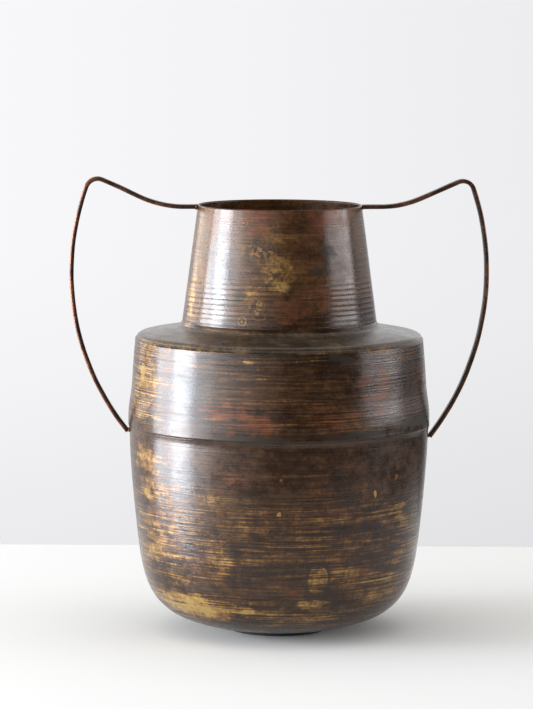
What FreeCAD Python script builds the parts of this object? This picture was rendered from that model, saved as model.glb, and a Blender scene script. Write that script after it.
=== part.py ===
import FreeCAD, Part
import math
import os
from FreeCAD import Vector

# Urn vase of spun sheet metal, in millimetres, +Z up, standing on z = 0 with its axis on Z.
# Four spun shells are lapped and brazed: bowl, wall, shoulder and neck. Two flat bars are bent
# into tall handles in the XZ plane and brazed at the rim and just under the waist.

# Sheet and brazed joints
SHEET = 1.0                # thickness of every spun shell
FIT = 0.05                 # radial clearance of a lapped joint
LAP = 6.0                  # length of a lapped joint
BRAZE_GAP = 0.4            # gap that braze fills between a bar's end and the shell

# Foot
PAD_RADIUS = 40.0
PAD_THICKNESS = 4.5
PAD_EDGE = 1.5             # rounding of the pad's lower edge

# Shells, all radii outside
WAIST_RADIUS = 117.0       # lip of the wall where it laps over the bowl
BOWL_HEIGHT = 156.5
SOLE_RADIUS = 46.5         # flat underside of the bowl
WALL_HEIGHT = 67.0
WALL_FLARE = 5.3           # how far the wall widens from its top edge down to its lip
SHOULDER_HEIGHT = 9.0      # from the wall's top edge to the neck's seat
SHOULDER_CORNER = 3.3      # height of the shoulder's corner over the wall's top edge
SHOULDER_BEND = 4.5        # outside radius of that corner
NECK_SEAT = 1.5            # width of the shoulder's ledge inside the neck
NECK_FOOT_RADIUS = 75.9
NECK_HEIGHT = 94.6
RIM_RADIUS = 63.4
RIM_EDGE = 0.35            # rounding of the mouth's edges

# Braze fillets
NECK_BRAZE = 2.6
SHOULDER_BRAZE = 0.9
WAIST_BRAZE = 1.1
RIM_BEAD_RADIUS = 2.2
WAIST_BEAD_RADIUS = 1.9
BEAD_OVERHANG = 0.6        # how far a bead stands out past each side of its bar

# Handles
BAR_THICKNESS = 3.3
BAR_DEPTH = 9.0
BAR_EDGE = 0.5
HANDLE_SPAN = 325.1        # over both bars, at their widest
WIDEST_BELOW_RIM = 53.6
BAR_BELOW_RIM = 2.0        # centre of the bar where it leaves the neck
RIM_RUN = 12.5             # level run out from the neck
SWEEP_RADIUS = 80.0        # upward sweep after the run, to the bar's centre
RISE_ANGLE = math.radians(24)
BEND_RADIUS = 9.0          # tight bend at the top, to the bar's centre
LEFT_FOOT_DROP = 4.7       # bars' feet below the waist, fixed a little unevenly by hand
RIGHT_FOOT_DROP = 9.6

# Outlines from bottom to top, as (radius share, height share) of the shell they belong to.
# The bowl's first point is its flat underside; the wall's radius share runs between its top and its lip.
BOWL_SHARES = ((0.593, 0.028), (0.735, 0.074), (0.856, 0.172), (0.92, 0.318), (0.957, 0.52), (0.986, 0.75))
WALL_SHARES = ((0.80, 0.20), (0.60, 0.33), (0.375, 0.60), (0.10, 0.90))

# Heights of the seams
SOLE_Z = PAD_THICKNESS
WAIST_Z = SOLE_Z + BOWL_HEIGHT
SEAM_Z = WAIST_Z + WALL_HEIGHT
NECK_Z = SEAM_Z + SHOULDER_HEIGHT
RIM_Z = NECK_Z + NECK_HEIGHT

BOWL_RADIUS = WAIST_RADIUS - SHEET - FIT
WALL_TOP_RADIUS = WAIST_RADIUS - WALL_FLARE
FLANGE_RADIUS = WALL_TOP_RADIUS - SHEET - FIT
SOCKET = LAP + SHEET       # straight stretch of the wall that takes the bowl's edge
AXIS = Vector(0, 0, 1)
OUTWARD = Vector(1, 0, 0)
ORIGIN = Vector(0, 0, 0)


def at(radius, height):
    """Point of a profile in the XZ plane."""
    return Vector(radius, 0, height)


def line(start, end):
    return Part.LineSegment(start, end).toShape()


def face_of(edges):
    return Part.Face(Part.Wire(Part.__sortEdges__(edges)))


def polygon(points):
    return face_of([line(a, b) for a, b in zip(points, points[1:] + points[:1])])


def spun(face):
    """Solid that a profile in the XZ plane sweeps round the vase's axis."""
    return face.revolve(ORIGIN, AXIS, 360)


def curve(points, start_heading, end_heading):
    spline = Part.BSplineCurve()
    spline.interpolate(Points=points, InitialTangent=start_heading, FinalTangent=end_heading)
    return spline


def inset(spline, points, distance):
    """Points of an upward outline moved inwards, square to it."""
    moved = []
    for place in points:
        heading = spline.tangent(spline.parameter(place))[0]
        normal = Vector(-heading.z, 0, heading.x)
        moved.append(place + normal * distance)
    return moved


def arc(centre, radius, start_angle, end_angle):
    """Arc in the XZ plane, with its angles counted from +X towards +Z."""
    angles = (start_angle, (start_angle + end_angle) / 2, end_angle)
    points = [centre + Vector(math.cos(a), 0, math.sin(a)) * radius for a in angles]
    return Part.Arc(*points).toShape()


def rounded_corner(before, corner, after, radius):
    """Ends and edge of the arc that rounds a corner between two straight lines."""
    back = (before - corner).normalize()
    onward = (after - corner).normalize()
    half = back.getAngle(onward) / 2
    reach = radius / math.tan(half)
    start = corner + back * reach
    end = corner + onward * reach
    bisector = (back + onward).normalize()
    crown = corner + bisector * (radius / math.sin(half) - radius)
    return start, end, Part.Arc(start, crown, end).toShape()


def base_pad():
    pad = Part.makeCylinder(PAD_RADIUS, PAD_THICKNESS)
    lower = [e for e in pad.Edges if e.BoundBox.ZMax < PAD_THICKNESS / 2 and e.Curve.TypeId == "Part::GeomCircle"]
    return pad.makeFillet(PAD_EDGE, lower)


def lower_bowl():
    """Bowl with a flat underside, whose straight upper edge tucks into the wall."""
    outer = [at(SOLE_RADIUS, SOLE_Z)]
    outer += [at(BOWL_RADIUS * r, SOLE_Z + BOWL_HEIGHT * h) for r, h in BOWL_SHARES]
    outer += [at(BOWL_RADIUS, WAIST_Z)]
    outside = curve(outer, OUTWARD, AXIS)
    inner = inset(outside, outer, SHEET)
    inside = curve(inner, OUTWARD, AXIS)
    lip_z = WAIST_Z + LAP
    return spun(face_of([
        line(at(0, SOLE_Z), outer[0]),
        outside.toShape(),
        line(outer[-1], at(BOWL_RADIUS, lip_z)),
        line(at(BOWL_RADIUS, lip_z), at(BOWL_RADIUS - SHEET, lip_z)),
        line(at(BOWL_RADIUS - SHEET, lip_z), inner[-1]),
        inside.toShape(),
        line(inner[0], at(0, SOLE_Z + SHEET)),
        line(at(0, SOLE_Z + SHEET), at(0, SOLE_Z)),
    ]))


def upper_wall():
    """Open drum, straight where it laps over the bowl, drawn in towards its top edge."""
    curve_z = WAIST_Z + SOCKET
    rise = SEAM_Z - curve_z
    outer = [at(WAIST_RADIUS, curve_z)]
    outer += [at(WALL_TOP_RADIUS + WALL_FLARE * r, curve_z + rise * h) for r, h in WALL_SHARES]
    outer += [at(WALL_TOP_RADIUS, SEAM_Z)]
    top_heading = outer[-1] - outer[-2]
    outside = curve(outer, AXIS, top_heading.normalize())
    inner = inset(outside, outer, SHEET)
    inner[-1].z = SEAM_Z
    inside = curve(inner, AXIS, top_heading)
    return spun(face_of([
        line(at(WAIST_RADIUS, WAIST_Z), outer[0]),
        outside.toShape(),
        line(outer[-1], inner[-1]),
        inside.toShape(),
        line(inner[0], at(WAIST_RADIUS - SHEET, WAIST_Z)),
        line(at(WAIST_RADIUS - SHEET, WAIST_Z), at(WAIST_RADIUS, WAIST_Z)),
    ]))


def shoulder_cap():
    """Level seat for the neck, a shallow cone, and an edge turned down inside the wall."""
    hole = NECK_FOOT_RADIUS - SHEET - NECK_SEAT
    seat = NECK_FOOT_RADIUS + NECK_BRAZE
    corner_z = SEAM_Z + SHOULDER_CORNER
    foot_z = SEAM_Z - LAP
    cone = at(FLANGE_RADIUS, corner_z) - at(seat, NECK_Z)
    slope = math.atan2(-cone.z, cone.x)
    # the underside keeps the sheet's thickness square to each stretch
    seat_in = seat - SHEET * math.tan(slope / 2)
    corner_in = at(FLANGE_RADIUS - SHEET, corner_z + SHEET * math.tan(slope) - SHEET / math.cos(slope))

    over = rounded_corner(at(seat, NECK_Z), at(FLANGE_RADIUS, corner_z), at(FLANGE_RADIUS, foot_z), SHOULDER_BEND)
    under = rounded_corner(at(seat_in, NECK_Z - SHEET), corner_in, at(FLANGE_RADIUS - SHEET, foot_z),
                           SHOULDER_BEND - SHEET)
    return spun(face_of([
        line(at(hole, NECK_Z), at(seat, NECK_Z)),
        line(at(seat, NECK_Z), over[0]),
        over[2],
        line(over[1], at(FLANGE_RADIUS, foot_z)),
        line(at(FLANGE_RADIUS, foot_z), at(FLANGE_RADIUS - SHEET, foot_z)),
        line(at(FLANGE_RADIUS - SHEET, foot_z), under[1]),
        under[2],
        line(under[0], at(seat_in, NECK_Z - SHEET)),
        line(at(seat_in, NECK_Z - SHEET), at(hole, NECK_Z - SHEET)),
        line(at(hole, NECK_Z - SHEET), at(hole, NECK_Z)),
    ]))


def neck_radius(height):
    """Outside radius of the neck's straight cone at a height above the table."""
    return NECK_FOOT_RADIUS + (RIM_RADIUS - NECK_FOOT_RADIUS) * (height - NECK_Z) / NECK_HEIGHT


def neck_cone():
    shell = spun(polygon([
        at(NECK_FOOT_RADIUS, NECK_Z),
        at(RIM_RADIUS, RIM_Z),
        at(RIM_RADIUS - SHEET, RIM_Z),
        at(NECK_FOOT_RADIUS - SHEET, NECK_Z),
    ]))
    mouth = [e for e in shell.Edges if e.BoundBox.ZMin > RIM_Z - SHEET]
    return shell.makeFillet(RIM_EDGE, mouth)


def neck_braze():
    """Slightly hollow fillet of two flat faces between the neck's foot and its seat."""
    low = at(NECK_FOOT_RADIUS + NECK_BRAZE, NECK_Z)
    high = at(neck_radius(NECK_Z + NECK_BRAZE), NECK_Z + NECK_BRAZE)
    corner = at(NECK_FOOT_RADIUS, NECK_Z)
    hollow = corner + at(NECK_BRAZE, NECK_BRAZE) * (1 - math.sqrt(0.5))
    return spun(polygon([corner, low, hollow, high]))


def shoulder_braze(cap):
    """Small fillet that sits on the wall's top edge, against the shoulder's rounded corner."""
    ring = spun(polygon([
        at(FLANGE_RADIUS - SHOULDER_BRAZE, SEAM_Z),
        at(FLANGE_RADIUS + SHOULDER_BRAZE, SEAM_Z),
        at(FLANGE_RADIUS, SEAM_Z + SHOULDER_BRAZE),
        at(FLANGE_RADIUS - SHOULDER_BRAZE, SEAM_Z + SHOULDER_BRAZE),
    ]))
    return ring.cut(cap).Solids[0]


def waist_braze():
    """Fillet under the wall's lip, against the bowl."""
    return spun(polygon([
        at(BOWL_RADIUS, WAIST_Z),
        at(BOWL_RADIUS, WAIST_Z - WAIST_BRAZE),
        at(BOWL_RADIUS + WAIST_BRAZE, WAIST_Z),
    ]))


def handle(foot_drop):
    """Bar on the +X side, from the neck to a square-cut foot on the bowl. Gives the bar and its foot's corner."""
    half = BAR_THICKNESS / 2
    start = at(RIM_RADIUS, RIM_Z - BAR_BELOW_RIM)
    run_end = start + OUTWARD * RIM_RUN
    sweep_centre = run_end + AXIS * SWEEP_RADIUS
    rise = at(math.cos(RISE_ANGLE), math.sin(RISE_ANGLE))
    upward = at(-math.sin(RISE_ANGLE), math.cos(RISE_ANGLE))
    rise_start = sweep_centre - upward * SWEEP_RADIUS

    # The bow's inner face is an arc through the widest point and the foot's inner corner.
    foot = at(BOWL_RADIUS + BRAZE_GAP, WAIST_Z - foot_drop)
    widest = at(HANDLE_SPAN / 2 - BAR_THICKNESS, RIM_Z - WIDEST_BELOW_RIM)
    across = widest.x - foot.x
    down = widest.z - foot.z
    inner_radius = (across ** 2 + down ** 2) / (2 * across)
    bow_radius = inner_radius + half
    bow_centre = widest - OUTWARD * inner_radius
    foot_angle = -math.asin(down / inner_radius)

    # The bend at the top touches the straight rise and the bow from inside.
    offset = rise_start - upward * BEND_RADIUS - bow_centre
    along = offset.dot(rise)
    rise_length = -along + math.sqrt(along ** 2 - offset.dot(offset) + (bow_radius - BEND_RADIUS) ** 2)
    rise_end = rise_start + rise * rise_length
    bend_centre = rise_end - upward * BEND_RADIUS
    reach = bend_centre - bow_centre
    bow_start = math.atan2(reach.z, reach.x)
    quarter = math.pi / 2

    def side(shift):
        """One long face of the bar, shifted from its centre line towards the outside of the handle."""
        return [
            line(start + AXIS * shift, run_end + AXIS * shift),
            arc(sweep_centre, SWEEP_RADIUS - shift, -quarter, RISE_ANGLE - quarter),
            line(rise_start + upward * shift, rise_end + upward * shift),
            arc(bend_centre, BEND_RADIUS + shift, RISE_ANGLE + quarter, bow_start),
            arc(bow_centre, bow_radius + shift, bow_start, foot_angle),
        ]

    foot_out = at(math.cos(foot_angle), math.sin(foot_angle))
    ends = [
        line(start - AXIS * half, start + AXIS * half),
        line(bow_centre + foot_out * (bow_radius - half), bow_centre + foot_out * (bow_radius + half)),
    ]
    profile = face_of(side(half) + side(-half) + ends)
    profile.translate(Vector(0, -BAR_DEPTH / 2, 0))
    bar = profile.extrude(Vector(0, BAR_DEPTH, 0))
    long_edges = [e for e in bar.Edges if e.BoundBox.YLength < BAR_EDGE and e.Length > BAR_THICKNESS * 1.01]
    bar = bar.makeFillet(BAR_EDGE, long_edges)

    # The upper end is coped to the neck, short of it by the gap that the bead fills.
    neck_plug = Part.makeCone(NECK_FOOT_RADIUS + BRAZE_GAP, RIM_RADIUS + BRAZE_GAP, NECK_HEIGHT, at(0, NECK_Z))
    return bar.cut(neck_plug).Solids[0], foot


def bead(centre, radius, neighbours):
    """Rounded bead of braze across a bar's end, shaped by the pieces that it joins."""
    length = BAR_DEPTH + 2 * BEAD_OVERHANG
    start = centre - Vector(0, length / 2, 0)
    blob = Part.makeCylinder(radius, length, start, Vector(0, 1, 0))
    rims = [e for e in blob.Edges if e.Curve.TypeId == "Part::GeomCircle"]
    blob = blob.makeFillet(radius / 2, rims)
    for piece in neighbours:
        blob = blob.cut(piece)
    return max(blob.Solids, key=lambda solid: solid.Volume)


def mirrored(shape):
    return shape.mirror(ORIGIN, OUTWARD)


def build():
    """All pieces by name."""
    cap = shoulder_cap()
    neck = neck_cone()
    bowl = lower_bowl()
    ring = waist_braze()
    pieces = {
        "base_pad": base_pad(),
        "lower_bowl": bowl,
        "upper_wall": upper_wall(),
        "shoulder_cap": cap,
        "neck_cone": neck,
        "waist_braze": ring,
        "shoulder_braze": shoulder_braze(cap),
        "neck_braze": neck_braze(),
    }
    neck_core = Part.makeCone(NECK_FOOT_RADIUS, RIM_RADIUS, NECK_HEIGHT, at(0, NECK_Z))
    bowl_core = Part.makeCylinder(BOWL_RADIUS, BOWL_HEIGHT, at(0, SOLE_Z))
    rim_joint = at(RIM_RADIUS + BRAZE_GAP / 2, RIM_Z - BAR_BELOW_RIM)
    for name, foot_drop in (("right", RIGHT_FOOT_DROP), ("left", LEFT_FOOT_DROP)):
        bar, foot = handle(foot_drop)
        rim_bead = bead(rim_joint, RIM_BEAD_RADIUS, [neck_core, bar])
        waist_bead = bead(foot, WAIST_BEAD_RADIUS, [bowl_core, bar])
        made = {"handle_" + name: bar, name + "_rim_bead": rim_bead, name + "_waist_bead": waist_bead}
        for node, shape in made.items():
            pieces[node] = shape if name == "right" else mirrored(shape)
    return pieces


os.makedirs("parts", exist_ok=True)
for node, shape in build().items():
    shape.exportStep("parts/" + node + ".step")
    box = shape.BoundBox
    print(node, shape.ShapeType, "valid", shape.isValid(), "solids", len(shape.Solids),
          "volume", round(shape.Volume), "x", round(box.XMin, 1), round(box.XMax, 1), "y", round(box.YMin, 1),
          round(box.YMax, 1), "z", round(box.ZMin, 1), round(box.ZMax, 1))
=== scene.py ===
import bpy
import math
import numpy as np
from mathutils import Matrix, Vector, noise


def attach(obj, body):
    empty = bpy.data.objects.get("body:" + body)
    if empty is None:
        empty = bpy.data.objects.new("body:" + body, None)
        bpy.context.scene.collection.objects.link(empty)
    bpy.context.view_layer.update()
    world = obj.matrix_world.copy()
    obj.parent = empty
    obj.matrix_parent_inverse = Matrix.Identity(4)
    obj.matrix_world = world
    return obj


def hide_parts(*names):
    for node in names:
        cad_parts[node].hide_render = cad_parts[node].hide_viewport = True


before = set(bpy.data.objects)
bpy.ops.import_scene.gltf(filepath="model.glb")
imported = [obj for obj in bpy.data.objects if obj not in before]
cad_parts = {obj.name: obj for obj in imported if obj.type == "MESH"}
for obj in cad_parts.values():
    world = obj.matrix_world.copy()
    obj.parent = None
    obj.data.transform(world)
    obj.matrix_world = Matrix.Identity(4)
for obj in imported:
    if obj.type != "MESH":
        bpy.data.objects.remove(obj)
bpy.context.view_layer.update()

# BASE PAD
# A black rubber disc glued under the bowl; the vase stands on it and only its front edge shows.
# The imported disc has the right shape, so it stays and only gets its rubber.


def linear(hex_colour):
    """sRGB hex to the linear, opaque colour that shader sockets take."""
    parts = [int(hex_colour[i:i + 2], 16) / 255 for i in (1, 3, 5)]
    return tuple(c / 12.92 if c <= 0.04045 else ((c + 0.055) / 1.055) ** 2.4 for c in parts) + (1.0,)


def add(kind, *sockets, out=0, stops=(), **settings):
    """Adds a node with its settings to the tree in hand, and gives the output asked for.

    The sockets come in their order, or in one dict by name or number; each is linked to, or set to,
    what it is given. The stops are a colour ramp's places and colours, from low to high.
    """
    made = tree.nodes.new("ShaderNode" + kind)
    for name, value in settings.items():
        setattr(made, name, value)
    named = sockets[0] if sockets and isinstance(sockets[0], dict) else dict(enumerate(sockets))
    for name, value in named.items():
        if isinstance(value, bpy.types.NodeSocket):
            tree.links.new(value, made.inputs[name])
        else:
            made.inputs[name].default_value = value
    if stops:
        marks = made.color_ramp.elements
        while len(marks) < len(stops):
            marks.new(1.0)
        for mark, (place, colour) in zip(marks, stops):
            mark.position = place
            mark.color = linear(colour)
    return made.outputs[out] if made.outputs else None


def start_material(name):
    """Empty node material, and its tree for the nodes to come."""
    made = bpy.data.materials.new(name)
    made.use_nodes = True
    made.node_tree.nodes.clear()
    return made, made.node_tree


def millimetres():
    """The object's own coordinates in millimetres; they stay with the piece when it moves."""
    return add("VectorMath", add("TexCoord", out="Object"), (1000, 1000, 1000), operation="MULTIPLY")


# Moulded black rubber: matt, with a fine grit from the mould and a trace of dust. The grit is
# really 0.1 mm and too fine to show, so it is drawn at 0.6 mm.
GRIT = 0.625
pad_rubber, tree = start_material("moulded_black_rubber")
grit = add("TexNoise", {"Vector": millimetres(), "Scale": 1 / GRIT, "Detail": 3.0})
dusty = add("ValToRGB", grit, stops=((0.45, "#161514"), (0.8, "#2C2A28")))
gritty = add("Bump", {"Height": grit, "Distance": 0.0002, "Strength": 0.4})
add("OutputMaterial", add("BsdfPrincipled", {"Base Color": dusty, "Roughness": 0.75, "Normal": gritty}))
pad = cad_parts["base_pad"]
pad.data.materials.clear()
pad.data.materials.append(pad_rubber)

# SPUN SHELLS
# Bowl, wall, shoulder and neck: 1 mm brass sheet spun over wooden forms on a lathe, trimmed and lapped.
# Hand spinning leaves the walls a little out of true and the cut edges softly rounded.
MM = 0.001
SHEET = 1.0
TURNS = 288                # facets round the vase
WAVER = 0.3                # how far hand spinning strays from a true circle, mm
WAVER_ROUND = 42           # size of a flat or bulge round the vase and up it, mm
WAVER_UP = 60


def outline(points, start_heading, end_heading, count):
    """Smooth curve through (radius, height) points, with the headings at its two ends."""
    points = np.array(points, float)
    steps = np.linalg.norm(np.diff(points, axis=0), axis=1)
    knots = np.concatenate([[0], np.cumsum(steps)])
    size = len(points)
    matrix = np.zeros((size, size))
    wanted = np.zeros((size, 2))
    matrix[0, 0] = matrix[-1, -1] = 1
    wanted[0] = start_heading
    wanted[-1] = end_heading
    for i in range(1, size - 1):
        before, after = steps[i - 1], steps[i]
        matrix[i, i - 1:i + 2] = (after, 2 * (before + after), before)
        slope_in = (points[i] - points[i - 1]) / before
        slope_out = (points[i + 1] - points[i]) / after
        wanted[i] = 3 * (after * slope_in + before * slope_out)
    slopes = np.linalg.solve(matrix, wanted)
    made = []
    for place in np.linspace(0, knots[-1], count):
        i = min(np.searchsorted(knots, place, side="right") - 1, size - 2)
        t = (place - knots[i]) / steps[i]
        made.append((1 + 2 * t) * (1 - t) ** 2 * points[i] + t * (1 - t) ** 2 * steps[i] * slopes[i]
                    + t * t * (3 - 2 * t) * points[i + 1] + t * t * (t - 1) * steps[i] * slopes[i + 1])
    return [tuple(p) for p in made]


def straight(start, end, count):
    return [(start[0] + (end[0] - start[0]) * i / count, start[1] + (end[1] - start[1]) * i / count)
            for i in range(count + 1)]


def arc(centre, radius, start, end, count):
    return [(centre[0] + radius * math.cos(t), centre[1] + radius * math.sin(t))
            for t in np.linspace(start, end, count)]


def inside_of(outer, thickness):
    """The same profile moved to the metal's other face, square to the sheet, in reverse order."""
    outer = np.array(outer)
    heading = np.gradient(outer, axis=0)
    heading /= np.linalg.norm(heading, axis=1)[:, None]
    normal = np.stack([-heading[:, 1], heading[:, 0]], axis=1)
    return [tuple(p) for p in (outer + normal * thickness)[::-1]]


def rounded_edge(from_point, to_point, count=4):
    """Half round of a trimmed sheet's edge between its two faces."""
    a, b = np.array(from_point), np.array(to_point)
    middle, half = (a + b) / 2, (a - b) / 2
    out = np.array([half[1], -half[0]])
    return [tuple(middle + half * math.cos(t) + out * math.sin(t) * 0.8)
            for t in (math.pi * i / (count + 1) for i in range(1, count + 1))]


def smooth_piece(name, points, faces):
    """Smooth-shaded object from points in millimetres."""
    mesh = bpy.data.meshes.new(name)
    mesh.from_pydata([tuple(c * MM for c in p) for p in points], [], faces)
    mesh.shade_smooth()
    mesh.update()
    piece = bpy.data.objects.new(name, mesh)
    bpy.context.scene.collection.objects.link(piece)
    return piece


def spun(name, profile):
    """Piece turned round the Z axis from a closed profile, with a slow waver in its radius."""
    points, faces = [], []
    for radius, height in profile:
        for k in range(TURNS):
            angle = 2 * math.pi * k / TURNS
            x, y = math.cos(angle), math.sin(angle)
            off = 0
            if radius > 1:
                spot = Vector((x * radius / WAVER_ROUND, y * radius / WAVER_ROUND, height / WAVER_UP))
                off = WAVER * (noise.noise(spot) + 0.35 * noise.noise(spot * 2.7))
            points.append(((radius + off) * x, (radius + off) * y, height))
    for i in range(len(profile)):
        j = (i + 1) % len(profile)
        for k in range(TURNS):
            m = (k + 1) % TURNS
            faces.append((i * TURNS + k, i * TURNS + m, j * TURNS + m, j * TURNS + k))
    return smooth_piece(name, points, faces)


# Heights are above the table, radii from the vase's axis, both of the sheet's outer face.
WAIST_Z = 161.0            # the wall's lower lip
SEAM_Z = 228.0             # the wall's top edge
NECK_Z = 237.0             # the neck's foot
RIM_Z = 331.6              # the mouth
CENTRE = 0.4               # the turned mesh starts this far from the axis

SOLE_Z = 4.5
SOLE_RADIUS = 46.5
BOWL_RADIUS = 115.95
BOWL_HEIGHT = 156.5
BOWL_LAP = 5.8             # how far its top edge reaches up inside the wall
BOWL_SHAPE = ((0.593, 0.028), (0.735, 0.074), (0.856, 0.172), (0.92, 0.318), (0.957, 0.52), (0.986, 0.75))
bowl_marks = [(SOLE_RADIUS, SOLE_Z)]
bowl_marks += [(BOWL_RADIUS * r, SOLE_Z + BOWL_HEIGHT * h) for r, h in BOWL_SHAPE]
bowl_marks += [(BOWL_RADIUS, WAIST_Z)]
bowl_outer = straight((CENTRE, SOLE_Z), (SOLE_RADIUS, SOLE_Z), 12)[:-1]
bowl_outer += outline(bowl_marks, (1, 0), (0, 1), 130)
bowl_outer += straight((BOWL_RADIUS, WAIST_Z), (BOWL_RADIUS, WAIST_Z + BOWL_LAP), 5)[1:]
bowl_inner = inside_of(bowl_outer, SHEET)
bowl = spun("bowl_shell", bowl_outer + rounded_edge(bowl_outer[-1], bowl_inner[0]) + bowl_inner)

WAIST_RADIUS = 117.0
WALL_TOP = 111.7
WALL_FLARE = 5.3
CURVE_Z = 168.0            # below here the wall is straight, where it laps over the bowl
WALL_SHAPE = ((0.80, 0.20), (0.60, 0.33), (0.375, 0.60), (0.10, 0.90))
wall_marks = [(WAIST_RADIUS, CURVE_Z)]
wall_marks += [(WALL_TOP + WALL_FLARE * r, CURVE_Z + (SEAM_Z - CURVE_Z) * h) for r, h in WALL_SHAPE]
wall_marks += [(WALL_TOP, SEAM_Z)]
wall_outer = straight((WAIST_RADIUS, WAIST_Z), (WAIST_RADIUS, CURVE_Z), 6)[:-1]
wall_outer += outline(wall_marks, (0, 1), (-0.088, 0.996), 52)
wall_inner = inside_of(wall_outer, SHEET)
wall_profile = wall_outer + rounded_edge(wall_outer[-1], wall_inner[0]) + wall_inner
wall = spun("wall_shell", wall_profile + rounded_edge(wall_inner[-1], wall_outer[0]))

FLANGE = 110.65            # the turned-down edge inside the wall's top
FLANGE_DROP = 6
BEND = 4.5
SEAT_RADIUS = 78.5         # from here inwards the cap is level, for the neck's foot
NECK_HOLE = 73.4
seat = (SEAT_RADIUS, NECK_Z)
corner = (FLANGE, SEAM_Z + 3.3)
slope = math.atan2(seat[1] - corner[1], corner[0] - seat[0])
reach = BEND * math.tan((math.pi / 2 - slope) / 2)
bend_centre = (FLANGE - BEND, corner[1] - reach)
cap_outer = straight((FLANGE, SEAM_Z - FLANGE_DROP), (FLANGE, bend_centre[1]), 6)[:-1]
cap_outer += arc(bend_centre, BEND, 0, math.pi / 2 - slope, 12)
cap_outer += straight(cap_outer[-1], seat, 26)[1:]
cap_outer += straight(seat, (NECK_HOLE, NECK_Z), 5)[1:]
cap_inner = inside_of(cap_outer, SHEET)
cap_profile = cap_outer + rounded_edge(cap_outer[-1], cap_inner[0], 3) + cap_inner
cap = spun("shoulder_shell", cap_profile + rounded_edge(cap_inner[-1], cap_outer[0], 3))

NECK_FOOT = 75.9
RIM_RADIUS = 63.4
RIM_ROUND = 0.4
neck_outer = straight((NECK_FOOT, NECK_Z), (RIM_RADIUS, RIM_Z - RIM_ROUND), 84)
neck_inner = inside_of(neck_outer, SHEET)
neck = spun("neck_shell", neck_outer + rounded_edge(neck_outer[-1], neck_inner[0], 5) + neck_inner)

# Spun brass, blackened with liver of sulphur, rubbed back and waxed: dark brown oxide with a clear
# gloss, red copper where it was heated, and bare brass where the cloth or the lathe cut through.
shell_patina, tree = start_material("waxed_patina_on_spun_brass")
in_mm = millimetres()
height = add("SeparateXYZ", in_mm, out="Z")
SMOOTH = {"interpolation_type": "SMOOTHSTEP"}

# The edges of the stains wander by a few millimetres, those of small marks and dried drops by less than one.
warp = add("TexNoise", {"Vector": in_mm, "Scale": 0.11, "Detail": 4.0, "Roughness": 0.65}, out="Color")
warp = add("VectorMath", warp, (0.5, 0.5, 0.5), operation="SUBTRACT")
wandered = add("VectorMath", warp, (24, 24, 15), in_mm, operation="MULTIPLY_ADD")
little_wandered = add("VectorMath", warp, (5, 5, 4), in_mm, operation="MULTIPLY_ADD")


def cloud(size, stretch=1.0, detail=4.0, roughness=0.55, offset=0.0):
    """Noise with features of about this size in mm, drawn out round the vase by the stretch; -1 to 1."""
    spot = add("VectorMath", in_mm, (1 / size, 1 / size, stretch / size), (offset,) * 3, operation="MULTIPLY_ADD")
    made = add("TexNoise", {"Vector": spot, "Scale": 1.0, "Detail": detail, "Roughness": roughness})
    return add("Math", made, 4.0, -2.0, operation="MULTIPLY_ADD")


def layered(base, *layers):
    """The base with every (layer, weight) laid over it and added up."""
    for layer, weight in layers:
        base = add("Math", layer, weight, base, operation="MULTIPLY_ADD")
    return base


def away_from(bearing, z, radius, wide, tall, spot):
    """Distance from a place on the vase, 1 at its half width or half height; the bearing is from the front."""
    turn = math.radians(bearing)
    centre = (radius * math.sin(turn) / wide, -radius * math.cos(turn) / wide, z / tall)
    offset = add("VectorMath", spot, (1 / wide, 1 / wide, 1 / tall), tuple(-c for c in centre),
                 operation="MULTIPLY_ADD")
    return add("VectorMath", offset, operation="LENGTH", out="Value")


def stains(places, spot=wandered, inner=0.3, outer=1.3):
    """Sum of soft spots: bearing in degrees, height, radius there, half width, half height, weight."""
    total = 0.0
    for *place, weight in places:
        stain = add("MapRange", away_from(*place, spot), inner, outer, weight, 0.0, **SMOOTH)
        total = add("Math", stain, total, operation="ADD")
    return total


def dried_drops(places):
    """Sum of the thin closed lines round dried drops, given like the stains."""
    total = 0.0
    for *place, weight in places:
        off_line = add("Math", away_from(*place, little_wandered), 1.0, operation="SUBTRACT")
        off_line = add("Math", off_line, operation="ABSOLUTE")
        line = add("MapRange", off_line, 0.0, 0.22, weight, 0.0, **SMOOTH)
        total = add("Math", line, total, operation="ADD")
    return total


def zone(start, full, fading, end):
    """1 round the vase between two heights, with a soft start below and a soft end above."""
    return add("Math", add("MapRange", height, start, full, **SMOOTH),
               add("MapRange", height, fading, end, 1.0, 0.0, **SMOOTH), operation="MULTIPLY")


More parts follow.
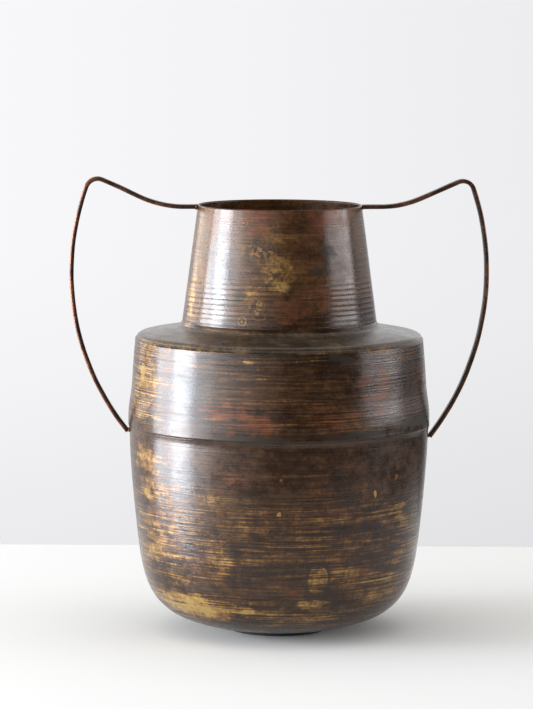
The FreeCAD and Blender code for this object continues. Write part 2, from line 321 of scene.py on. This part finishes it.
# Where the oxide is rubbed away to brass: the neck, the shoulder's left, the wall, the bowl from its
# top down to its round, and last the sides and back. On the shoulder's left it is also painted sheen.
brass_and_sheen_places = (
    (-70, 290, 69, 8, 22, 0.40), (-72, 262, 72, 9, 16, 0.48), (-68, 244, 74, 10, 9, 0.45),
    (-3, 273, 71, 10, 4, 0.4), (-3, 286, 69.7, 14, 14, 0.24), (-4, 314, 66, 12, 13, 0.3),
    (-21, 268, 72, 13, 14, 0.28), (23, 264, 72.4, 22, 8, 0.24), (-2, 285, 70, 28, 40, 0.26),
    # Next the shoulder: brass, and on its left also painted sheen, paler where the light from the left falls.
    (-62, 233, 98, 44, 9, 0.55), (-30, 234, 92, 30, 6, 0.30), (48, 231, 104, 26, 6, 0.35),
    (-69, 214, 113, 24, 16, 0.52), (-67, 192, 114.5, 24, 17, 0.48), (-61, 172, 116.8, 24, 8, 0.50),
    (-14, 221, 112, 9, 4, 0.45), (-10, 212, 113, 10, 5, 0.36), (8, 222, 112, 20, 2, 0.4),
    (-63, 140, 115, 30, 14, 0.60), (-62, 116, 113.6, 40, 10, 0.52), (-62, 84, 110.6, 42, 26, 0.48),
    (-29, 117, 113.7, 12, 5, 0.36), (50, 104, 112.6, 15, 7, 0.46), (-20, 90, 112, 60, 40, 0.16),
    (35, 95, 112, 60, 45, 0.18), (62, 70, 110, 30, 50, 0.3), (-26, 66, 108.4, 11, 18, 0.36),
    (-56, 56, 108, 40, 18, 0.34), (24, 56, 107, 12, 16, 0.30), (46, 42, 103.6, 26, 18, 0.34),
    (-46, 30, 98, 50, 13, 0.95), (-17, 33, 100, 9, 6, 0.45), (10, 27, 95, 60, 12, 0.35),
    (150, 250, 74, 30, 20, 0.5), (120, 200, 114, 40, 20, 0.5), (-130, 110, 113, 50, 26, 0.5),
    (170, 40, 103, 50, 16, 0.6), (100, 60, 108, 30, 18, 0.4), (-120, 200, 114, 40, 24, 0.5),
)
# Small marks with a clear edge: an oval and a crescent low on the bowl, drips and specks.
brass_marks = (
    (13.3, 55.5, 107, 8.5, 15, 0.42), (12, 37, 101.8, 15, 3, 0.5), (37, 119, 114, 1.6, 3, 0.9),
    (-2.3, 106.5, 112.8, 1.8, 2, 0.8), (-2, 133, 115.5, 1.5, 1.5, 0.7), (48, 130, 115.3, 2, 3, 0.6),
    (-25, 247, 74.6, 1.5, 1.5, 0.6), (-16, 253, 73.7, 1.8, 1.8, 0.45), (-14, 260, 72.8, 1.6, 2.2, 0.45),
    (-28, 321, 64.8, 1.3, 1.3, 0.5), (-3, 283.5, 69.7, 13, 15, 0.16), (-70, 268, 72, 5, 26, 0.25),
    (-69, 206, 113, 5, 7, 0.5),
)
# Where brazing heated the brass and left it red: under the rim, over the neck's foot, round the waist.
copper_places = (
    (-18, 322, 64.6, 16, 14, 0.75), (-50, 322, 64.6, 24, 10, 0.40), (35, 320, 65, 34, 14, 0.50),
    (0, 330.5, 63.5, 75, 3, 0.35), (16, 264, 72.4, 38, 10, 0.60), (2, 252, 73.8, 20, 13, 0.50),
    (-19, 179, 116, 34, 13, 0.66), (-10, 172, 116.7, 18, 7, 0.50), (19, 179, 116, 26, 9, 0.60),
    (36, 206, 113, 24, 22, 0.50), (31, 160, 116.6, 9, 5, 0.60), (-58, 98, 112, 34, 26, 0.50),
    (-46, 72, 109.6, 30, 18, 0.45), (-21, 131, 115.4, 20, 10, 0.45), (-9, 91, 111.4, 26, 5, 0.40),
    (48, 130, 115.3, 3, 4, 0.8), (30, 80, 112, 70, 70, 0.30), (110, 180, 116, 50, 14, 0.6),
    (-140, 300, 68, 30, 20, 0.5), (160, 120, 114, 60, 40, 0.4),
)
# Grey-brown soot and dirt: dull patches on the neck, the shoulder, and all round the waist.
soot_places = (
    (31, 298, 69, 10, 9, 0.60), (24, 286, 70, 14, 7, 0.50), (42, 282, 70, 10, 16, 0.45),
    (-22, 292, 69, 7, 9, 0.55), (-29, 264, 72, 6, 15, 0.60), (-36, 246, 74, 14, 5, 0.50),
    (-12, 306, 67, 6, 5, 0.35), (0, 231, 98, 52, 16, 0.5), (21, 222, 112, 12, 5, 0.6),
    (-42, 165, 117, 50, 5, 0.30), (-10, 162.5, 117, 46, 3.2, 0.8), (30, 165, 117, 40, 4.5, 0.7),
    (62, 169, 117, 34, 5, 0.75), (120, 164, 117, 80, 5, 0.7), (-120, 164, 117, 80, 5, 0.7),
    (180, 165, 117, 60, 4, 0.7), (-10, 125, 114, 52, 34, 0.30), (-58, 103.5, 112.4, 30, 3, 0.6),
    (-36, 46, 105, 34, 5, 0.42),
)
# Where the oxide is thickest it is nearly black.
black_places = (
    (-43, 278, 71, 15, 36, 0.8), (-44, 312, 66, 11, 14, 0.4), (34, 282, 70, 12, 16, 0.4),
    (-39, 198, 114, 17, 24, 0.6), (-41, 136, 115.4, 16, 18, 0.5), (-12, 118, 114, 30, 18, 0.35),
    (140, 280, 70, 30, 30, 0.5), (-150, 60, 108, 50, 20, 0.4),
)

blotch = cloud(85, 1.5, 5.0, 0.6)
patch = cloud(24, 2.2, 5.0, 0.62, 11.0)
mottle = cloud(9, 1.0, 4.0, 0.65, 41.0)
grain = cloud(2.6, 1.0, 3.0, 0.6, 5.0)
streak = cloud(60, 13.0, 4.0, 0.6, 23.0)           # long wipe marks, about 4.5 mm high
hairline = cloud(48, 32.0, 3.0, 0.7, 31.0)         # brush hairlines, really 0.3 mm, drawn about 1.5 mm high
clouds = add("Math", patch, mottle, operation="ADD")

# Turned lines right round the vase, really 0.3 mm apart, drawn at about 1.2 mm; from the shoulder's
# edge inwards they are spaced by radius, not by height.
LINE_GAP = 1.2
flat = add("VectorMath", in_mm, (1, 1, 0), operation="MULTIPLY")
radius = add("VectorMath", flat, operation="LENGTH", out="Value")
past_edge = add("MapRange", height, 228, 229, **SMOOTH)
along = add("Math", height, add("Math", radius, past_edge, operation="MULTIPLY"), operation="SUBTRACT")
along = add("Math", along, LINE_GAP, operation="DIVIDE")
lines = add("TexNoise", {"W": layered(along, (blotch, 0.6)), "Scale": 1.0, "Detail": 3.0, "Roughness": 0.7},
            noise_dimensions="1D")
lines = add("Math", lines, 4.0, -2.0, operation="MULTIPLY_ADD")

# Lines and streaks show most low on the bowl and on the wall, less under the waist and on the neck.
turned = add("Math", add("MapRange", height, 100, 132, 1.4, 0.65, **SMOOTH),
             add("MapRange", height, 158, 176, 0.0, 0.7, **SMOOTH), operation="ADD")
turned = add("Math", turned, add("MapRange", height, 232, 246, 0.0, -0.8, **SMOOTH), operation="ADD")
streak = add("Math", streak, turned, operation="MULTIPLY")
line_patches = add("MapRange", cloud(70, 2.0, 2.0, 0.5, 77.0), -0.6, 1.0, 0.0, 0.8, **SMOOTH)
hairline = add("Math", layered(hairline, (lines, line_patches)), turned, operation="MULTIPLY")


def broken_up(total, weights, low, high):
    """Mask from the listed stains, broken up by the patina's own clouds."""
    total = layered(total, *zip((blotch, patch, mottle, streak, hairline, grain), weights))
    return add("MapRange", total, low, high, **SMOOTH)


brass_and_sheen = add("Math", stains(brass_and_sheen_places), stains(brass_marks, little_wandered, 0.75, 1.1), operation="ADD")
brass_and_sheen = broken_up(brass_and_sheen, (0.12, 0.18, 0.20, 0.22, 0.42, 0.10), 0.05, 1.15)
copper = broken_up(stains(copper_places), (0.12, 0.24, 0.38, 0.08, 0.30, 0.18), 0.25, 0.95)
soot = broken_up(stains(soot_places), (0.06, 0.12, 0.12, 0.10, 0.12, 0.04), 0.25, 0.7)

# Brazing left a dull burnt band round the waist, uneven along its upper edge.
burnt = add("Math", add("MapRange", height, 155, 159, **SMOOTH),
            add("MapRange", layered(height, (patch, 4)), 165, 171, 1.0, 0.0, **SMOOTH), operation="MULTIPLY")
burnt_through = add("MapRange", layered(clouds, (hairline, 1.0)), -1.4, 1.4, 0.15, 0.95, **SMOOTH)
burnt = add("Math", burnt, burnt_through, operation="MULTIPLY")

# The wall's top edge is worn bright, and painted paler still as the highlight along its rounded edge.
worn_and_lit_edge = add("Math", zone(226.4, 227.2, 228.2, 228.8),
                add("MapRange", clouds, -0.8, 1.4, 0.0, 0.7, **SMOOTH), operation="MULTIPLY")
brass_and_sheen = add("Math", brass_and_sheen, worn_and_lit_edge, operation="MAXIMUM")

# Dried drops left thin lines: pale on the neck, dark round the oval on the bowl.
pale_drops = dried_drops((
    (-28, 321, 65, 3.2, 3.2, 0.45), (-25, 247, 74.6, 3.4, 3.4, 0.7), (-14, 260, 72.9, 3, 3.5, 0.6),
    (-15, 252, 73.9, 5, 4, 0.4), (-48, 235.6, 82, 7, 7, 0.5), (-67, 268, 72, 10, 22, 0.4)))
dark_drops = dried_drops((
    (13.3, 55.5, 107, 9, 15.5, 0.8), (13.3, 55.5, 107, 5, 10, 0.4), (12, 38, 102, 15, 4, 0.5),
    (-68, 207, 113, 3, 5, 0.8)))

# On the neck's front the oxide crazed under the wax, in curling cracks about 10 mm across: pale lines
# with a dark edge beside them.
craze = add("Math", cloud(10, 1.0, 3.0, 0.55, 61.0), operation="ABSOLUTE")
crazed = stains((
    (-3, 283, 70, 14, 16, 1.0), (-16, 300, 67.5, 18, 7, 0.9), (-20, 262, 72, 12, 14, 0.6),
    (-42, 300, 67, 20, 24, 0.4), (10, 262, 72.5, 22, 14, 0.3)))
crack = add("Math", add("MapRange", craze, 0.04, 0.14, 1.0, 0.0, **SMOOTH), crazed, operation="MULTIPLY")
beside_crack = add("Math", add("MapRange", craze, 0.06, 0.2, **SMOOTH),
                   add("MapRange", craze, 0.25, 0.5, 1.0, 0.0, **SMOOTH), operation="MULTIPLY")
beside_crack = add("Math", beside_crack, crazed, operation="MULTIPLY")
brass_and_sheen = add("Math", brass_and_sheen, layered(0.0, (pale_drops, 0.8), (crack, 0.6)), operation="MAXIMUM")
dark_marks = add("Math", dark_drops, layered(0.0, (beside_crack, 0.75)), operation="MAXIMUM")
soot = add("Math", soot, dark_marks, operation="MAXIMUM")

# Brown oxide, from nearly black to half-cleared bronze; it is a little lighter on the neck.
lighter_neck = add("MapRange", height, 240, 262, 0.0, 0.12, **SMOOTH)
thin_oxide = layered(lighter_neck, (clouds, 0.13), (blotch, 0.13), (hairline, 0.24), (streak, 0.112),
                     (grain, 0.10))
oxide = add("ValToRGB", add("Math", thin_oxide, 0.44, operation="ADD"),
            stops=((0.05, "#120A05"), (0.4, "#2D1C10"), (0.65, "#4A301A"), (1.0, "#7E572E")))
black = add("MapRange", layered(stains(black_places), (clouds, 0.12)), 0.0, 1.0, **SMOOTH)
oxide = add("Mix", {0: black, 6: oxide, 7: linear("#120D0A")}, data_type="RGBA", out=2)

# Rubbed places go from bronze-brown to pale brass, heated ones from dark red to copper.
gold = add("ValToRGB", layered(brass_and_sheen, (mottle, 0.096), (grain, 0.12)),
           stops=((0.1, "#47301A"), (0.45, "#684926"), (0.75, "#876638"), (1.0, "#A0844E")))
fresh_red = add("MapRange", layered(patch, (hairline, 1.0)), -1.2, 1.4, **SMOOTH)
red = add("Mix", {0: fresh_red, 6: linear("#331C12"), 7: linear("#744027")}, data_type="RGBA", out=2)

# The shoulder lies flat and was never polished: mottled brown and dusty olive, with faint rings; its
# paler olive is also painted sheen of the light on the flat top.
on_shoulder = zone(227.5, 229, 238, 240)
dust_and_sheen = layered(0.5, (patch, 0.26), (mottle, 0.182), (lines, 0.208), (grain, 0.208))
dust_and_sheen = add("ValToRGB", dust_and_sheen, stops=((0.1, "#17110B"), (0.5, "#3E3225"), (0.9, "#6C5C42")))

# Each coat over the last: red copper, brass with its painted sheen, the burnt band, soot, the
# shoulder's dust and painted sheen.
colour = oxide
for cover, coat in ((copper, red), (add("MapRange", brass_and_sheen, 0.0, 0.45, **SMOOTH), gold),
                    (layered(0.0, (burnt, 0.7)), linear("#301F14")),
                    (layered(0.0, (soot, 0.8)), linear("#26231A")),
                    (layered(0.0, (on_shoulder, 0.75)), dust_and_sheen)):
    colour = add("Mix", {0: cover, 6: colour, 7: coat}, data_type="RGBA", out=2)

# Tool marks: fine rings everywhere, really 0.3 mm and drawn at 1.7 mm, and wider grooves every 3.9 mm
# on the lower half of the neck.
RING_GAP = 1.7
GROOVE_GAP = 3.9
rings = add("TexNoise", {"W": add("Math", height, RING_GAP, operation="DIVIDE"), "Scale": 1.0,
                         "Detail": 2.0, "Roughness": 0.6}, noise_dimensions="1D")
groove = add("Math", add("Math", height, 2 * math.pi / GROOVE_GAP, operation="MULTIPLY"), operation="SINE")
groove = add("Math", add("Math", groove, 0.5, 0.5, operation="MULTIPLY_ADD"), 3.0, operation="POWER")
groove = add("Math", groove, zone(238, 243, 268, 282), operation="MULTIPLY")
worn_away = add("MapRange", layered(lines, (patch, 1.0)), -1.2, 1.2, 0.1, 1.0, **SMOOTH)
groove = add("Math", groove, worn_away, operation="MULTIPLY")
relief = layered(0.0, (groove, 2.4), (rings, 0.8), (hairline, 0.42), (grain, 0.12),
                 (mottle, layered(on_shoulder, (crazed, 0.8))))
tool_marks = add("Bump", {"Height": relief, "Distance": 0.00008, "Strength": 1.0})

# Wax gives the gloss; soot, heated copper and the shoulder are duller, and the lower left of the neck
# is rubbed the most and shines nearly white. The brushing draws the highlights out up and down.
dullness = layered(add("MapRange", clouds, -1.2, 1.2, 0.21, 0.36, **SMOOTH),
                   (soot, 0.18), (hairline, -0.05), (streak, -0.03), (copper, 0.1), (on_shoulder, 0.04))
polished = stains(((-50, 258, 73, 26, 28, 0.24), (-50, 300, 68, 20, 30, 0.12)))
add("OutputMaterial", add("BsdfPrincipled", {
    "Base Color": colour, "Roughness": dullness, "Specular IOR Level": 0.33,
    "Metallic": layered(0.1, (brass_and_sheen, 0.4), (copper, 0.08)),
    "Anisotropic": 0.5, "Anisotropic Rotation": 0.25,
    "Tangent": add("Tangent", direction_type="RADIAL", axis="Z"),
    "Coat Weight": add("Math", polished, 0.22, operation="ADD"), "Coat Roughness": 0.17,
    "Normal": tool_marks, "Coat Normal": tool_marks}))
for piece, node in ((bowl, "lower_bowl"), (wall, "upper_wall"), (cap, "shoulder_cap"), (neck, "neck_cone")):
    piece.data.materials.append(shell_patina)
    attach(piece, "root")
    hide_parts(node)

# SEAMS
# Three brazed seams between the shells, scraped and filed to soft hollows and patinated with them.
# The waist's runs from the wall's lip down the bowl, the shoulder's fills the crease, the neck's its foot.
waist_face = outline([(116.7, 165.5), (117.02, 163), (116.55, 159.6), (116.02, 156.8), (115.9, 154.5),
                      (115.6, 151)], (0.15, -1), (-0.12, -1), 30)
waist_seam = spun("waist_seam", waist_face + [(115.2, 152), (115.4, 165)])
crease_face = outline([(111.4, 226.2), (111.74, 227.6), (111.2, 228.5), (110.55, 229.2), (109.9, 230.4),
                       (109.3, 230.4)], (0.12, 1), (-1, 0.1), 18)
crease_seam = spun("crease_seam", crease_face + [(109.2, 229), (110.3, 226.4)])
foot_face = outline([(80.6, 236.3), (79.0, 237.05), (77.0, 238.2), (75.9, 240.4), (75.1, 242.2)],
                    (-1, 0.1), (-0.2, 1), 16)
foot_seam = spun("foot_seam", foot_face + [(74.9, 240), (75.4, 236.6)])
for piece, node in ((waist_seam, "waist_braze"), (crease_seam, "shoulder_braze"), (foot_seam, "neck_braze")):
    piece.data.materials.append(shell_patina)
    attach(piece, "root")
    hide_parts(node)

# HANDLES
# Two flat brass bars, 3.3 x 9 mm, bent by hand over a former; the edges have worn round and the bars
# stand slightly unevenly. Each is brazed end-on to the neck under the rim and to the bowl under the waist.
BAR = 3.3
BAR_DEEP = 9.0
BAR_EDGE = 1.25            # its rounded edges
BAR_WAVE = 22              # length of a kink that hand bending left
BAR_Z = 329.6              # its level start, under the rim
START_RADIUS = 63.9
LEVEL_TO = 75.9            # it runs level to this radius,
SWEEP = 80                 # sweeps up on this radius
CLIMB = math.radians(24)   # to this slope,
TOP_BEND = 9               # bends down on this radius
WIDEST = (159.25, 278.0)   # and bows out to here
FOOT_RADIUS = 116.35


def bar_line(foot_drop, lift):
    """Centre line from the neck to the foot, radius and height; the lift bends its top up or down."""
    climb = np.array((math.cos(CLIMB), math.sin(CLIMB)))
    square = np.array((-math.sin(CLIMB), math.cos(CLIMB)))
    sweep = (LEVEL_TO, BAR_Z + SWEEP)
    climb_start = np.array(sweep) - square * SWEEP
    foot = (FOOT_RADIUS, WAIST_Z - foot_drop)
    across, down = WIDEST[0] - foot[0], WIDEST[1] - foot[1]
    inner = (across ** 2 + down ** 2) / (2 * across)
    bow = inner + BAR / 2
    middle = np.array((WIDEST[0] - inner, WIDEST[1]))
    gap = climb_start - square * TOP_BEND - middle
    along = gap @ climb
    climb_end = climb_start + climb * (math.sqrt(along ** 2 - gap @ gap + (bow - TOP_BEND) ** 2) - along)
    bend = climb_end - square * TOP_BEND
    turn_end = math.atan2(bend[1] - middle[1], bend[0] - middle[0])
    points = straight((START_RADIUS, BAR_Z), (LEVEL_TO, BAR_Z), 8)[:-1]
    points += arc(sweep, SWEEP, -math.pi / 2, CLIMB - math.pi / 2, 24)[:-1]
    points += straight(climb_start, climb_end, 24)[:-1]
    points += arc(bend, TOP_BEND, CLIMB + math.pi / 2, turn_end, 18)[:-1]
    points += arc(middle, bow, turn_end, -math.asin(down / inner), 110)
    # lifted most at the top bend, not at all at the ends
    share = np.linspace(0, 1, len(points))
    return [(r, z + lift * math.sin(math.pi * min(1, s * 1.9)) ** 2) for (r, z), s in zip(points, share)]


def bent_bar(name, side, foot_drop, lift, seed):
    """Bar with rounded edges along its centre line, on the +X (side 1) or -X side, with a slight waver."""
    line = np.array(bar_line(foot_drop, lift))
    heading = np.gradient(line, axis=0)
    heading /= np.linalg.norm(heading, axis=1)[:, None]
    u, v = BAR / 2 - BAR_EDGE, BAR_DEEP / 2 - BAR_EDGE
    section = []
    for quarter, centre in enumerate(((u, v), (-u, v), (-u, -v), (u, -v))):
        turns = [(quarter + k / 5) * math.pi / 2 for k in range(6)]
        section += [(centre[0] + BAR_EDGE * math.cos(t), centre[1] + BAR_EDGE * math.sin(t)) for t in turns]
    points, faces = [], []
    for (r, z), (hr, hz) in zip(line, heading):
        spot = Vector((r / BAR_WAVE, z / BAR_WAVE, seed))
        aside = 0.22 * noise.noise(spot)                              # mm, in or out
        sway = 0.5 * noise.noise(spot * 0.5 + Vector((7, 7, 7)))      # mm, to the front or the back
        thick = 1 + 0.05 * noise.noise(spot * 1.6)                    # share of its thickness
        for u, v in section:
            out = u * thick + aside
            points.append((side * (r - hz * out), v + sway, z + hr * out))
    size = len(section)
    for i in range(len(line) - 1):
        for k in range(size):
            m = (k + 1) % size
            faces.append((i * size + k, i * size + m, (i + 1) * size + m, (i + 1) * size + k))
    faces += [tuple(range(size)), tuple(range(len(points) - size, len(points)))]
    bar = smooth_piece(name, points, faces)
    for cut_end in (-1, -2):
        bar.data.polygons[cut_end].use_smooth = False
    return bar


bar_left = bent_bar("left_bar", -1, 4.7, 1.1, 2.0)
bar_right = bent_bar("right_bar", 1, 9.6, -0.9, 8.0)

# Drawn flat brass bar under the same oxide, rubbed by hands: copper-brown along both edges, with a dull
# waxed gloss. Painted light and shade: copper-brown on the face away from the vase, nearly black towards it.
bar_patina_and_side_shade, tree = start_material("worn_patina_and_painted_side_shade_on_brass_bar")
in_mm = millimetres()
fleck = cloud(14, 1.0, 4.0, 0.6, 3.0)
fine = cloud(2.2, 1.0, 2.0, 0.6, 9.0)
# Painted light and shade: faces away from the vase are lighter, faces towards it darker.
outer_lit_inner_shaded = add("SeparateXYZ", add("TexCoord", out="Normal"), out="X")
side_of = add("Math", add("SeparateXYZ", in_mm, out="X"), operation="SIGN")
outer_lit_inner_shaded = add("Math", outer_lit_inner_shaded, side_of, operation="MULTIPLY")
edges = add("Math", add("SeparateXYZ", in_mm, out="Y"), operation="ABSOLUTE")
edges = add("MapRange", edges, 2.8, 4.3, 0.0, 0.4, **SMOOTH)
wear_and_side_light = layered(edges, (outer_lit_inner_shaded, 0.45), (fine, 0.18), (fleck, 0.34))
wear_and_side_light = add("MapRange", wear_and_side_light, -0.2, 1.0, **SMOOTH)
bar_colour = add("ValToRGB", wear_and_side_light, stops=((0.0, "#19110C"), (0.5, "#402619"), (1.0, "#7A4A28")))
flecked = add("Bump", {"Height": fine, "Distance": 0.00006, "Strength": 0.6})
add("OutputMaterial", add("BsdfPrincipled", {
    "Base Color": bar_colour, "Roughness": add("MapRange", fleck, -0.8, 0.8, 0.3, 0.48, **SMOOTH),
    "Metallic": 0.4, "Specular IOR Level": 0.3, "Coat Weight": 0.2, "Coat Roughness": 0.25,
    "Normal": flecked, "Coat Normal": flecked}))
for piece, node in ((bar_left, "handle_left"), (bar_right, "handle_right")):
    piece.data.materials.append(bar_patina_and_side_shade)
    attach(piece, "root")
    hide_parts(node)

# BRAZE BEADS
# A lump of brazing metal at each of the bars' four ends, as it froze: uneven, wider than the bar.
# It was scraped bright in places and went dark with the rest in others.


def lump(name, place, sizes, seed):
    """Uneven round lump about a point, with its three half sizes in millimetres."""
    points, faces = [], []
    rows, around = 20, 32
    for i in range(rows + 1):
        up = math.pi * i / rows
        for k in range(around):
            turn = 2 * math.pi * k / around
            way = Vector((math.sin(up) * math.cos(turn), math.sin(up) * math.sin(turn), math.cos(up)))
            swell = 1 + 0.16 * noise.noise(way * 1.7 + Vector((seed, seed, seed)))
            points.append([place[n] + sizes[n] * way[n] * swell for n in range(3)])
    for i in range(rows):
        for k in range(around):
            m = (k + 1) % around
            faces.append((i * around + k, (i + 1) * around + k, (i + 1) * around + m, i * around + m))
    return smooth_piece(name, points, faces)


# Brazing brass, as it froze: coppery where it was scraped bright, brown-black elsewhere.
bead_metal, tree = start_material("frozen_braze")
in_mm = millimetres()
scraped = add("MapRange", cloud(3.5, 1.0, 3.0, 0.6, 17.0), -0.6, 0.6, **SMOOTH)
bead_colour = add("ValToRGB", scraped, stops=((0.0, "#2A1A12"), (0.55, "#6E3F22"), (1.0, "#C0834E")))
add("OutputMaterial", add("BsdfPrincipled", {
    "Base Color": bead_colour, "Roughness": 0.36, "Metallic": 0.6, "Coat Weight": 0.1}))
for name, node, place, sizes, seed in (
        ("left_rim_lump", "left_rim_bead", (-64.6, 0, 329.4), (1.7, 5.2, 2.3), 1.0),
        ("right_rim_lump", "right_rim_bead", (64.4, 0, 329.3), (1.3, 5.0, 2.0), 5.0),
        ("left_waist_lump", "left_waist_bead", (-116.6, 0, 156.0), (1.5, 4.9, 1.7), 9.0),
        ("right_waist_lump", "right_waist_bead", (116.5, 0, 151.1), (1.5, 4.9, 1.7), 14.0)):
    piece = lump(name, place, sizes, seed)
    piece.data.materials.append(bead_metal)
    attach(piece, "root")
    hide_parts(node)

# TABLE, ROOM AND LIGHTS
# A plain white table top with its back edge behind the vase, against a pale wall with painted shade,
# a little greyer low down and to the right. A tall window stands to the left, in strips that fade towards
# the front; a pale reflector stands to the right, and the ceiling glows softly.
TURN = math.radians(2.9)   # the camera stands this far round to the left of the vase's front
table = smooth_piece("table", [(-480, -420, 0), (480, -420, 0), (480, 380, 0), (-480, 380, 0)], [(0, 1, 2, 3)])
table.rotation_euler = (0, 0, -TURN)
# Honed white stone: flat and quite matt, so it shows the vase's soft shadow and no reflection.
table_white, tree = start_material("honed_white_table")
add("OutputMaterial", add("BsdfPrincipled", {
    "Base Color": linear("#E7E7E4"), "Roughness": 0.8, "Specular IOR Level": 0.0}))
table.data.materials.append(table_white)


def lamp(name, bearing, distance, above, width, tall, radiance, colour):
    """Soft lamp that faces the vase; its bearing is counted from the camera round to the left."""
    light = bpy.data.lights.new(name, "AREA")
    light.shape = "RECTANGLE"
    light.size, light.size_y = width, tall
    light.energy = radiance * math.pi * width * tall
    light.color = linear(colour)[:3]
    holder = bpy.data.objects.new(name, light)
    angle = math.radians(bearing) + TURN
    holder.location = (-math.sin(angle) * distance, -math.cos(angle) * distance, above)
    holder.rotation_euler = (math.pi / 2 - math.atan2(above, distance), 0, -angle)
    holder.visible_camera = False
    bpy.context.scene.collection.objects.link(holder)


lamp("window", 79, 3.0, 0.1, 1.0, 1.8, 33.0, "#EEF5FF")
lamp("window_left", 97, 3.0, 0.05, 1.2, 1.8, 13.5, "#EEF5FF")
lamp("window_curtain", 60, 3.0, 0.2, 0.8, 1.5, 10.5, "#F4F9FF")
lamp("window_edge", 44, 3.0, 0.3, 0.9, 1.1, 5.6, "#FFFFFF")
lamp("window_side", 26, 3.0, 0.35, 0.9, 1.1, 2.6, "#FFFFFF")
lamp("window_glow", 9, 3.0, 0.62, 0.9, 0.8, 1.4, "#FFF8EE")
lamp("lit_wall", 122, 3.0, 0.6, 2.4, 0.8, 4.2, "#FFF6EA")
lamp("window_top", 78, 2.0, 2.6, 2.2, 2.2, 0.4, "#F8FAFF")
lamp("reflector", -86, 3.0, 0.6, 2.2, 0.8, 7.0, "#F4F2F6")
lamp("ceiling", 0, 0.01, 2.6, 2.2, 2.2, 0.8, "#FFFBF4")

# The room: the camera sees the pale wall with its painted shade, gloss mirrors that wall and the bright
# side behind the camera's left, and everything else gets an even weak light.
LIT_SIDE = math.radians(150) + TURN
ROOM_LIGHT = 0.63
world = bpy.data.worlds.new("studio")
world.use_nodes = True
tree = world.node_tree
tree.nodes.clear()
toward = add("TexCoord", out="Generated")
right = add("SeparateXYZ", toward, out="X")
up = add("SeparateXYZ", toward, out="Z")
to_lit_side = add("VectorMath", toward, (-math.sin(LIT_SIDE), -math.cos(LIT_SIDE), 0),
                  operation="DOT_PRODUCT", out="Value")
to_back = add("VectorMath", toward, (math.sin(TURN), math.cos(TURN), 0), operation="DOT_PRODUCT", out="Value")
rays = add("LightPath").node.outputs
mirrored = add("Math", rays["Is Glossy Ray"], rays["Is Transmission Ray"], operation="MAXIMUM")
backdrop = add("Math", add("MapRange", to_back, -0.1, 0.3, 0.0, 1.0, **SMOOTH),
               add("MapRange", up, -0.05, 0.04, **SMOOTH), operation="MULTIPLY")
lit_side = add("Math", add("MapRange", to_lit_side, 0.45, 0.75, 0.06, 0.7, **SMOOTH),
               add("MapRange", up, 0.2, 0.4, 1.0, 0.2, **SMOOTH), operation="MULTIPLY")
in_gloss = add("Math", lit_side, backdrop, operation="MAXIMUM")
# Painted shade on the wall the camera sees: greyer low down and to the right.
seen_with_painted_shade = add("Math", add("MapRange", up, -0.22, -0.07, 0.81, 0.955, **SMOOTH),
           add("MapRange", right, -0.06, 0.16, 1.0, 0.9, **SMOOTH), operation="MULTIPLY")
unseen = add("Mix", {0: mirrored, 2: ROOM_LIGHT, 3: in_gloss}, data_type="FLOAT")
strength = add("Mix", {0: rays["Is Camera Ray"], 2: unseen, 3: seen_with_painted_shade}, data_type="FLOAT")
add("OutputWorld", add("Background", linear("#FDFDFF"), strength))
bpy.context.scene.world = world
bpy.context.scene.view_settings.view_transform = "Standard"

# CAMERA
# A long lens on a stand, higher than the mouth and slightly to the left of the front. Its place and
# focal length were fitted to the vase's outline in the photograph.
DISTANCE = 2.6
CAMERA_Z = 0.5036
LOOK_DOWN = 6.3435         # degrees
FOCAL = 3368               # focal length in pixels of the photograph, which is 709 pixels tall
ASIDE = 12.75              # the vase's axis stands this many pixels right of the middle
ROLL = 0.0045              # radians
camera_data = bpy.data.cameras.new("camera")
camera_data.sensor_fit = "VERTICAL"
camera_data.sensor_height = 24
camera_data.lens = 24 * FOCAL / 709
camera_data.clip_end = 50
camera = bpy.data.objects.new("camera", camera_data)
camera.location = (-math.sin(TURN) * DISTANCE, -math.cos(TURN) * DISTANCE, CAMERA_Z)
camera.rotation_euler = (Matrix.Rotation(ASIDE / FOCAL - TURN, 3, "Z")
                         @ Matrix.Rotation(math.radians(90 - LOOK_DOWN), 3, "X")
                         @ Matrix.Rotation(ROLL, 3, "Z")).to_euler()
bpy.context.scene.collection.objects.link(camera)
bpy.context.scene.camera = camera
